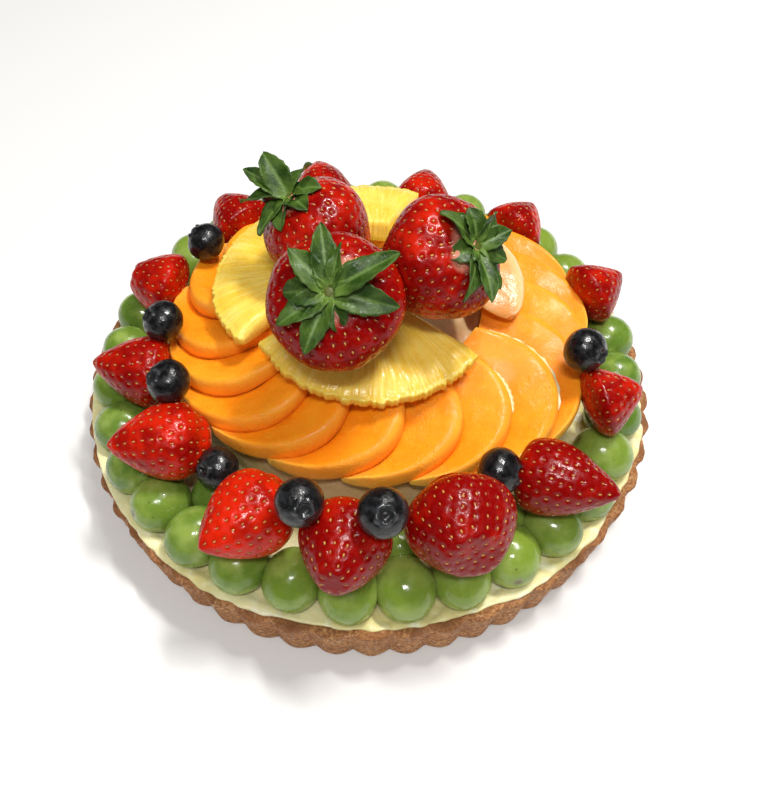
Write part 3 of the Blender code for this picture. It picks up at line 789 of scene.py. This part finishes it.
def berry_profile(length, width, first, last, rows):
    """Distance along and half width of a strawberry from its leaf end to its tip, evenly spaced."""
    shares = first + (last - first) * (0.5 - 0.5 * np.cos(np.linspace(0, math.pi, 200)))
    along_berry = (shares - BERRY_MIDDLE) * length
    radii = berry_radius(shares) * width
    line = np.stack([along_berry, radii], 1)
    if radii[0] > 1e-6:
        opening = np.linspace(0, math.pi / 2, 40, endpoint=False)
        dome = [along_berry[0] - HULL_DOME * radii[0] * np.cos(opening), radii[0] * np.sin(opening)]
        line = np.concatenate([np.stack(dome, 1), line])
    if radii[-1] > 1e-6:
        disc = np.stack([np.full(30, along_berry[-1]), np.linspace(radii[-1], 0, 31)[1:]], 1)
        line = np.concatenate([line, disc])
    line[0, 1] = line[-1, 1] = 0
    line, _ = evened(line, 400)
    # Round the corners by averaging along the line, mirrored at both poles
    reach = 14
    mirrored = np.concatenate([line[reach:0:-1] * (1, -1), line, line[-2:-reach - 2:-1] * (1, -1)])
    weights = np.hanning(2 * reach + 1)
    weights /= weights.sum()
    line, total = evened(np.stack([np.convolve(mirrored[:, k], weights, "valid") for k in range(2)], 1), rows)
    line[0, 1] = line[-1, 1] = 0
    return line, total


def strawberry(name, node, size, cuts, turn, bright, looks, spacing, seed, solid, pale_to=None):
    """A strawberry with its seeds each in a pit. Its tip is at +X before turn is applied.

    Size is its length and width, cuts the shares of the length where it starts and ends, spacing the
    distance between its points, and pale_to the direction and limit of a pale patch.
    """
    (length, width), (first, last) = size, cuts
    draw = random.Random(seed)
    rows = max(24, int(1.15 * length * (last - first) / spacing) + int(width / spacing * 0.5))
    sides = int(math.pi * width / spacing)
    line, total = berry_profile(length, width, first, last, rows)
    slope = np.gradient(line, axis=0)
    slope /= np.linalg.norm(slope, axis=1)[:, None] + 1e-12
    facing = np.stack([-slope[:, 1], slope[:, 0]], 1)

    def surface(row, angle):
        """Point and outward direction at this place along the profile and round the berry."""
        at = np.clip(row, 0, rows - 1)
        low = np.minimum(at.astype(int), rows - 2)
        part = (at - low)[..., None]
        spot = line[low] * (1 - part) + line[low + 1] * part
        out = facing[low] * (1 - part) + facing[low + 1] * part
        ca, sa = np.cos(angle), np.sin(angle)
        return [np.stack([at[..., 0], at[..., 1] * ca, at[..., 1] * sa], -1) for at in (spot, out)]

    grid_rows = np.repeat(np.arange(1, rows - 1), sides).astype(float)
    grid_turns = np.tile(np.arange(sides) * math.tau / sides, rows - 2)
    points, normals = surface(grid_rows, grid_turns)
    poles, _ = surface(np.array([0.0, rows - 1.0]), np.zeros(2))
    points = np.concatenate([points, poles])
    normals = np.concatenate([normals, [(-1.0, 0, 0), (1.0, 0, 0)]])

    # Seeds stand in rows round the berry, each row half a step on from the one before
    step = total / rows
    seeds = []
    here, odd = 0.0032, 0
    while here < total - 0.0018:
        row = here / step
        radius = float(np.interp(row, np.arange(rows), line[:, 1]))
        count = max(1, round(math.tau * radius / (SEED_PITCH * 1.04)))
        for k in range(count):
            angle = math.tau * (k + 0.5 * odd + draw.uniform(-0.13, 0.13)) / count
            seeds.append((row + draw.uniform(-0.4, 0.4) * 0.0008 / step, angle))
        here += SEED_PITCH * 0.86
        odd = 1 - odd
    seeds = np.array(seeds)
    seed_points, seed_normals = surface(seeds[:, 0], seeds[:, 1])

    lump = 0.020 * width

    def swell(places):
        return lump * smooth_noise(places, 0.014, seed) + 0.3 * lump * smooth_noise(places, 0.006, seed + 1)

    # pit shapes the dents, and the material also uses it for painted shade inside them
    pit = np.zeros(len(points))
    puff = np.zeros(len(points))
    for centre in seed_points:
        apart = np.linalg.norm(points - centre, axis=1)
        pit = np.maximum(pit, bell(apart, PIT_WIDTH))
        puff = np.maximum(puff, bell(apart - PUFF_RADIUS, 0.0008))
    points = points + normals * (swell(points) - PIT_DEPTH * pit + PUFF_HEIGHT * puff)[:, None]
    seed_points = seed_points + seed_normals * (swell(seed_points) - SEED_SINK)[:, None]

    tone = bright + 0.25 * smooth_noise(points, 0.016, seed + 2)
    pale = np.zeros(len(points))
    share = (points[:, 0] - line[0, 0]) / (line[-1, 0] - line[0, 0])
    if first < 0.30:
        pale = 0.8 * ramp(share, 0.035, 0)
    turn_rows = np.array(turn)
    if pale_to is not None:
        local = turn_rows.T @ np.array(pale_to[0], float)
        local /= np.linalg.norm(local)
        toward = (points / np.linalg.norm(points, axis=1)[:, None]) @ local
        pale = np.maximum(pale, 0.85 * ramp(toward, pale_to[1], 1))
    count = len(points)
    faces = outwards(points, loft_faces(rows - 2, sides, 0, count - 2, count - 1))
    body_faces = len(faces)

    # Each seed is a small pointed oval, lying along the berry
    seed_rows, seed_sides = 3, 6
    half_length, half_width, half_height = SEED_HALVES
    grains = []
    for centre, normal in zip(seed_points, seed_normals):
        long_way = np.array((1.0, 0, 0)) - normal * normal[0]
        straight = np.linalg.norm(long_way)
        long_way = long_way / straight if straight > 1e-6 else np.array((0, 1.0, 0))
        cross = np.cross(normal, long_way)
        scale = draw.uniform(0.85, 1.15)
        start = len(points) + len(grains)
        grains.append(centre - long_way * SEED_ENDS[0] * scale)
        for r in range(seed_rows):
            a = math.pi * (r + 1) / (seed_rows + 1)
            for s in range(seed_sides):
                b = math.tau * s / seed_sides
                side = cross * half_width * math.cos(b) + normal * half_height * math.sin(b)
                spot = math.sin(a) * side - long_way * half_length * math.cos(a)
                grains.append(centre + scale * spot)
        grains.append(centre + long_way * SEED_ENDS[1] * scale)
        faces += loft_faces(seed_rows, seed_sides, start + 1, start, len(points) + len(grains) - 1)
    face_looks = [0] * body_faces + [1] * (len(faces) - body_faces)
    body = solid @ turn_rows.T
    shift = box_middle(node) - (body.min(0) + body.max(0)) / 2
    all_points = np.concatenate([points, np.array(grains)]) @ turn_rows.T + shift
    values = {"tone": tone, "pit": pit, "pale": pale}
    values = {key: np.concatenate([numbers, np.zeros(len(grains))]) for key, numbers in values.items()}
    piece_from(name, all_points, faces, looks, values, face_looks, node)
    return shift


def make_strawberries():
    looks = [strawberry_look(), seed_look()]
    leaf = leaf_look()
    for number, (turn, length, width, yaw, solid_hull, hull, cut, bright) in enumerate(RING_STRAWBERRIES, 1):
        turned = Matrix.Rotation(math.radians(turn + yaw), 3, "Z") @ Matrix.Rotation(-BERRY_RISE, 3, "Y")
        spacing = FINE_SPACING if number in NEAR_STRAWBERRIES else COARSE_SPACING
        node = f"strawberry_{number:02d}"
        solid = berry_solid(length, width, solid_hull, cut)
        strawberry(
            f"ring_{node}", node, (length, width), (hull, cut), turned, bright, looks, spacing, number, solid,
        )
    for number, (axis, length, width, bright) in enumerate(TOP_STRAWBERRIES, 1):
        turned = (-Vector(axis)).to_track_quat("X", "Z").to_matrix()
        solid = berry_solid(length, width, 0, 1)
        shift = strawberry(
            f"whole_strawberry_{number}", f"top_strawberry_{number}", (length, width), (0.0, 1.0), turned,
            bright, looks, TOP_SPACING, 40 + number, solid, PALE_SIDES.get(number),
        )
        make_crown(number, Vector(axis).normalized(), Vector(shift), length, leaf)


def make_crown(number, axis, middle, length, look):
    """The leaves round the stem of a whole strawberry: thin, folded and curled blades."""
    root = middle + axis * (CROWN_PLACE * length)
    across = (Vector((1, 0, 0)) - axis * axis.x).normalized()
    up = axis.cross(across)
    points, faces = [], []
    values = {"vein": [], "root": [], "stem": []}
    rows, sides = 22, 10
    width = sides + 1
    sheet = (rows + 1) * width
    for index, (turn, reach, wide, off_root, off_tip, twist) in enumerate(LEAVES[number - 1]):
        heading = across * math.cos(math.radians(turn)) + up * math.sin(math.radians(turn))
        side = axis.cross(heading)
        spot = root + heading * LEAF_START + axis * (0.0006 + 0.00015 * (index % 3))
        line = []
        for row in range(rows + 1):
            share = row / rows
            lift = math.radians(off_root + (off_tip - off_root) * share + 6 * math.sin(5 * share + index))
            forward = heading * math.cos(lift) + axis * math.sin(lift)
            line.append((spot.copy(), forward))
            spot = spot + forward * (reach - LEAF_START) / rows
        start = len(points)
        for face_side in (1, -1):
            for row, (centre, forward) in enumerate(line):
                share = row / rows
                half = LEAF_WIDTH_SHARE * wide * (share * 1.9 + 0.16) ** 0.62 * max(0.0, 1 - share) ** 0.80
                half = max(half, 0.00012)
                turned = math.radians(twist) * share
                out = forward.cross(side)
                if out.dot(axis) < 0:
                    out = -out
                flat = side * math.cos(turned) + out * math.sin(turned)
                normal = out * math.cos(turned) - side * math.sin(turned)
                for step in range(width):
                    over = 2 * step / sides - 1
                    off = LEAF_FOLD * half * abs(over) ** 1.3 + face_side * LEAF_THICKNESS / 2
                    off += LEAF_WAVE * math.sin(9 * share + 2.1 * index + 1.5 * over) * over * over
                    teeth = 1 + 0.05 * math.sin(share * 34 + index) * (abs(over) > 0.9)
                    points.append(centre + flat * (half * over * teeth) + normal * off)
                    middle_vein = bell(over, 0.10) * (1 - 0.6 * share)
                    side_vein = max(0.0, math.sin(16 * share - 5 * abs(over)) - 0.75)
                    values["vein"].append(max(middle_vein, 0.96 * side_vein))
                    values["root"].append(max(0.0, 1 - share * 3.2))
                    values["stem"].append(0.0)
        for a in (start + row * width + step for row in range(rows) for step in range(sides)):
            b, c, d = a + 1, a + 1 + width, a + width
            faces += [(a, b, c, d), (d + sheet, c + sheet, b + sheet, a + sheet)]
        # The thin edges between both sheets: the two long sides, the root and the tip
        rims = [(start + row * width + step, width, step > 0) for row in range(rows) for step in (0, sides)]
        rims += [(start + row * width + step, 1, row == 0) for row in (0, rows) for step in range(sides)]
        for a, ahead, flip in rims:
            face = (a, a + ahead, a + ahead + sheet, a + sheet)
            faces.append(face[::-1] if flip else face)
    # The stump of the stem in the middle
    start = len(points)
    stump_sides = 16
    for radius, height in STUMP:
        for step in range(stump_sides):
            angle = math.tau * step / stump_sides
            uneven = radius * (1 + 0.10 * math.sin(3 * angle + number))
            out = across * (uneven * math.cos(angle)) + up * (uneven * math.sin(angle))
            points.append(root + out + axis * height)
            values["vein"].append(0.0)
            values["root"].append(0.8)
            values["stem"].append(1.0 if radius < STEM_RADIUS else 0.0)
    faces += loft_faces(len(STUMP), stump_sides, start, ends=True)
    points = [tuple(point) for point in points]
    piece_from(f"leaves_{number}", points, faces, [look], values, None, f"leaf_crown_{number}")


def make_blueberries():
    """A slightly flattened berry with a five pointed crown round a shallow cup."""
    look = blueberry_look()
    draw = random.Random(23)
    rows, sides = 44, 50
    for number in range(1, BLUEBERRY_COUNT + 1):
        node = f"blueberry_{number:02d}"
        low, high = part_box(node)
        size = BLUEBERRY_SIZE * draw.uniform(0.98, 1.04)
        outward = Vector((low.x + high.x, low.y + high.y, 0)).normalized()
        aim = outward + Vector((draw.uniform(-0.5, 0.5), draw.uniform(-0.5, 0.5), draw.uniform(0.3, 1.3)))
        aim = Vector(BLUEBERRY_AIMS.get(number, aim)).normalized()
        turn = np.array(aim.to_track_quat("Z", "Y").to_matrix())
        spin = draw.uniform(0, math.tau)
        points, rim, cup = [], [], []
        for row in range(rows + 1):
            polar = math.pi * row / rows
            top = 1.0 if polar < BLUEBERRY_CROWN_END else 0.0
            for step in range(sides if 0 < row < rows else 1):
                angle = math.tau * step / sides
                out, height = math.sin(polar) * 0.5, math.cos(polar) * 0.5 * BLUEBERRY_FLATNESS
                lobes = 0.5 + 0.5 * math.cos(5 * (angle + spin))
                ridge = top * bell(out - 0.155 - 0.035 * lobes, 0.030)
                hollow = top * bell(out, 0.125, 4)
                height += ridge * (0.025 + 0.035 * lobes) - hollow * 0.085 + 0.03 * top * bell(out, 0.025)
                points.append((out * math.cos(angle), out * math.sin(angle), height))
                rim.append(min(1.0, ridge) * 0.55)
                cup.append(hollow * 0.8)
        points = np.array(points) * size
        points *= (1 + 0.018 * smooth_noise(points + number, 0.006, number))[:, None]
        points = points @ turn.T
        points += box_middle(node) - (points.min(0) + points.max(0)) / 2
        faces = outwards(points, loft_faces(rows - 1, sides, 1, 0, len(points) - 1))
        values = {"rim": rim, "cup": cup}
        piece_from(f"fresh_{node}", points, faces, [look], values, None, node)


def along(line, share):
    """The point at this share of the length of a line of points."""
    lengths = [(b - a).length for a, b in zip(line, line[1:])]
    left = share * sum(lengths)
    for a, b, length in zip(line, line[1:], lengths):
        if left <= length:
            return a.lerp(b, left / length)
        left -= length
    return line[-1].copy()


def skin_edge(turn, reach):
    """The skin edge of a peach slice seen from above, as a smooth line from the middle outwards."""
    shares, bends = zip(*PEACH_CURVE)
    spots = np.arange(len(shares))
    fine = np.linspace(0, len(shares) - 1, 5 * (len(shares) - 1) + 1)
    shares = np.interp(fine, spots, shares)
    bends = np.interp(fine, spots, bends)
    kernel = np.array([1, 2, 3, 4, 5, 4, 3, 2, 1]) / 25
    for _ in range(2):
        shares[4:-4] = np.convolve(shares, kernel, "valid")
        bends[4:-4] = np.convolve(bends, kernel, "valid")
    return [mound_point(turn + bend, share * reach, 0) for share, bend in zip(shares, bends)]


def crossing(line, other):
    """Where two lines of points cross last: the point, and how far along each line it is."""
    for i in range(len(line) - 2, -1, -1):
        for j in range(len(other) - 2, -1, -1):
            a, b = line[i], line[i + 1] - line[i]
            c, d = other[j], other[j + 1] - other[j]
            across = b.x * d.y - b.y * d.x
            if abs(across) < 1e-14:
                continue
            s = ((c.x - a.x) * d.y - (c.y - a.y) * d.x) / across
            t = ((c.x - a.x) * b.y - (c.y - a.y) * b.x) / across
            if 0 <= s <= 1 and 0 <= t <= 1:
                return a + b * s, i, j
    raise ValueError("neighbouring peach slices do not cross")


def make_peaches():
    """Each slice fills the plan between its own skin edge and that of the slice before it."""
    look = peach_look()
    draw = random.Random(31)
    section = smoothed(PEACH_SECTION, 3)
    rows = 56
    for number, (turn, reach) in enumerate(PEACHES, 1):
        node = f"peach_{number:02d}"
        before_turn, before_reach = PEACHES[number - 2]
        own = skin_edge(turn, reach)
        before = skin_edge(before_turn, before_reach)
        tip, own_last, before_last = crossing(own, before)
        own = own[: own_last + 1] + [tip]
        before = before[: before_last + 1] + [tip]
        tone = draw.uniform(0.15, 0.75)
        full = draw.uniform(0.94, 1.06)
        points, tips, tones = [], [], []
        for row in range(rows):
            share = 0.5 - 0.5 * math.cos(math.pi * (row + 0.12) / (rows - 0.7))
            thin, skin = along(before, share), along(own, share)
            side = (skin - thin).normalized()
            thin -= side * PEACH_TUCK
            skin -= side * PEACH_GAP
            rise = full * PEACH_SKIN_HEIGHT * (0.30 + 0.70 * math.sin(math.pi * (0.12 + 0.8 * share)) ** 0.6)
            end = min(1.0, (1 - share) / 0.10) ** 0.5
            for across, lift in section:
                point = thin.lerp(skin, across)
                point.z = bed_height(point) + 3 * GAP + lift * rise * (0.35 + 0.65 * end)
                points.append(tuple(point))
                # Paler towards the outer tip, plus a painted highlight along the crest of the skin edge
                rim = max(0.0, 1 - abs(across - 0.93) / 0.12)
                tips.append(0.75 * max(0.0, (share - 0.72) / 0.28) ** 1.5 + 0.25 * rim)
                tones.append(tone + 0.25 * (across - 0.5))
        points = np.array(points)
        waves, ripples = smooth_noise(points, 0.012, number), smooth_noise(points, 0.004, number + 40)
        points[:, 2] += 0.0004 * waves + 0.00015 * ripples
        ends = [points[: len(section)].mean(0), points[-len(section):].mean(0)]
        count = len(points)
        points = np.concatenate([points, ends])
        faces = outwards(points, loft_faces(rows, len(section), 0, count, count + 1))
        values = {"tip": tips + [0, 0.6], "tone": tones + [tone, tone]}
        piece_from(f"soft_{node}", points, faces, [look], values, None, node)


def make_pineapples():
    """Arcs of a pineapple ring: fibres from the core outwards and a torn outer edge."""
    look = pineapple_look()
    half = PINEAPPLE_THICKNESS / 2
    for number, (centre, first, last, radius, lean_to, lean) in enumerate(PINEAPPLES, 1):
        node = f"pineapple_{number}"
        steps = int((last - first) * 1.9)
        across = 22
        points, fibres, rinds = [], [], []
        for step in range(steps + 1):
            turn = first + (last - first) * step / steps
            angle = math.radians(turn)
            torn = 0.0011 * noise.noise(Vector((angle * 11, 2.0 * number, 0)))
            torn += 0.0010 * noise.noise(Vector((angle * 30, 5.0 * number, 1)))
            outer = radius - 0.0004 + torn
            flat_end = outer - PINEAPPLE_EDGE_ROUND
            core = PINEAPPLE_CORE + 0.0008 * noise.noise(Vector((angle * 9, 3.0 * number, 2)))
            from_end = radius * math.radians(min(turn - first, last - turn)) / PINEAPPLE_END
            ends = 0.62 + 0.38 * math.sin(math.pi / 2 * min(1.0, from_end))
            # Outwards over the top, round the torn edge, back below and up the core
            reaches = [core + (flat_end - core) * k / (across - 1) for k in range(across)]
            ring = [(out, half) for out in reaches]
            for k in range(1, 6):
                bend = math.pi * k / 6
                bulge = 0.0010 + 0.0003 * noise.noise(Vector((angle * 40, k * 0.9, 7.0)))
                ring.append((flat_end + bulge * math.sin(bend), half * math.cos(bend)))
            ring += [(out, -half) for out in reversed(reaches)]
            ring += [(core - 0.0002, -half + 2 * half * k / 3) for k in (1, 2)]
            for out, height in ring:
                fibre = 0.65 * noise.noise(Vector((angle * 17, out * 60, 9.0 * number)))
                fibre += 0.5 * noise.noise(Vector((angle * 46, out * 110, 4.0 * number)))
                top = height >= half * 0.99
                thin_rim = ramp(out, outer - PINEAPPLE_RIM, outer)
                height *= ends * (1 - 0.42 * thin_rim**1.5)
                if top:
                    height += 0.00016 * fibre - 0.0002
                    height -= 0.0012 * max(0.0, (out - outer + 0.004) / 0.004) ** 2
                points.append((out * math.cos(angle), out * math.sin(angle), height))
                fibres.append(min(1.0, max(0.0, 0.5 + fibre)))
                rinds.append(0.5 * ramp(out, outer - 0.0022, outer))
        wide = len(points) // (steps + 1)
        turned = place_like(node, points, lean_matrix(lean_to, lean))
        turned[:, 2] += 0.0005 * smooth_noise(turned, 0.010, number + 60)
        faces = outwards(turned, loft_faces(steps + 1, wide, ends=True))
        values = {"fibre": fibres, "rind": rinds}
        piece_from(f"cut_{node}", turned, faces, [look], values, None, node)


def make_pale_slice():
    section = smoothed(PEACH_SECTION, 3)
    rows = 56
    points, tips = [], []
    for row in range(rows):
        share = math.sin(math.pi * 0.5 * (2 * (row + 0.35) / (rows - 0.3) - 1))
        wide = PALE_SLICE_WIDTH * max(0.02, 1 - share * share) ** 0.5
        rise = PALE_SLICE_THICKNESS * (0.35 + 0.65 * (1 - share * share))
        skin = 0.5 * PALE_SLICE_WIDTH - 0.35 * (PALE_SLICE_WIDTH - wide)
        for across, lift in section:
            points.append((share * PALE_SLICE_LENGTH / 2, skin - (1 - across) * wide, lift * rise))
            # The tip value here is only a painted highlight along the crest
            tips.append(max(0.0, 1 - abs(across - 0.9) / 0.2))
    heading = Matrix.Rotation(math.radians(PALE_SLICE_TURN), 3, "Z")
    points = np.array(points)
    points[:, 2] += 0.0003 * smooth_noise(points, 0.010, 77)
    count = len(points)
    points = np.concatenate([points, [points[: len(section)].mean(0), points[-len(section):].mean(0)]])
    turned = place_like("pale_peach", points, lean_matrix(*PALE_SLICE_LEAN) @ heading)
    faces = outwards(turned, loft_faces(rows, len(section), 0, count, count + 1))
    looks, values = [pale_peach_look()], {"tip": tips + [0, 0]}
    piece_from("soft_pale_peach", turned, faces, looks, values, None, "pale_peach")


def make_stage():
    mesh = bpy.data.meshes.new("floor")
    corners = ((-1, -1), (1, -1), (1, 1), (-1, 1))
    mesh.from_pydata([(x * FLOOR_REACH, y * FLOOR_REACH, 0) for x, y in corners], [], [(0, 1, 2, 3)])
    floor = bpy.data.objects.new("floor", mesh)
    floor.location.z = FLOOR_HEIGHT
    bpy.context.scene.collection.objects.link(floor)
    paint = Look("floor_white", 0.9, Specular_IOR_Level=0.1)
    shade = paint.noise(0.4, 2)
    paint.colour(paint.mix(shade, linear(226, 226, 225), linear(229, 229, 228)))
    mesh.materials.append(paint.material)


def make_lights():
    world = bpy.data.worlds.new("studio")
    bpy.context.scene.world = world
    world.use_nodes = True
    background = world.node_tree.nodes["Background"]
    background.inputs["Color"].default_value = (1.0, 1.0, 1.0, 1.0)
    background.inputs["Strength"].default_value = WORLD_STRENGTH
    # The white room lights the fruit, and only the lamps shine in its skin
    world.cycles_visibility.glossy = False
    for name, place, size, power, colour in LAMPS:
        data = bpy.data.lights.new(name, "AREA")
        data.shape = "RECTANGLE"
        data.size, data.size_y = size
        data.energy = power
        data.color = colour
        lamp = bpy.data.objects.new(name, data)
        lamp.location = place
        lamp.rotation_euler = (Vector(LAMP_TARGET) - Vector(place)).to_track_quat("-Z", "Y").to_euler()
        bpy.context.scene.collection.objects.link(lamp)


def make_camera():
    data = bpy.data.cameras.new("camera")
    data.lens = CAMERA_LENS
    data.sensor_width = 36
    data.shift_x, data.shift_y = CAMERA_SHIFT
    data.clip_start = 0.01
    data.clip_end = 30
    camera = bpy.data.objects.new("camera", data)
    level, rise = math.cos(CAMERA_ELEVATION), math.sin(CAMERA_ELEVATION)
    camera.location = (0, -CAMERA_DISTANCE * level, CAMERA_DISTANCE * rise)
    camera.rotation_euler = (math.pi / 2 - CAMERA_ELEVATION, 0, 0)
    bpy.context.scene.collection.objects.link(camera)
    bpy.context.scene.camera = camera
    bpy.context.scene.view_settings.view_transform = "Standard"


make_crust()
make_custard()
make_grapes()
make_strawberries()
make_blueberries()
make_peaches()
make_pineapples()
make_pale_slice()
make_stage()
make_lights()
make_camera()
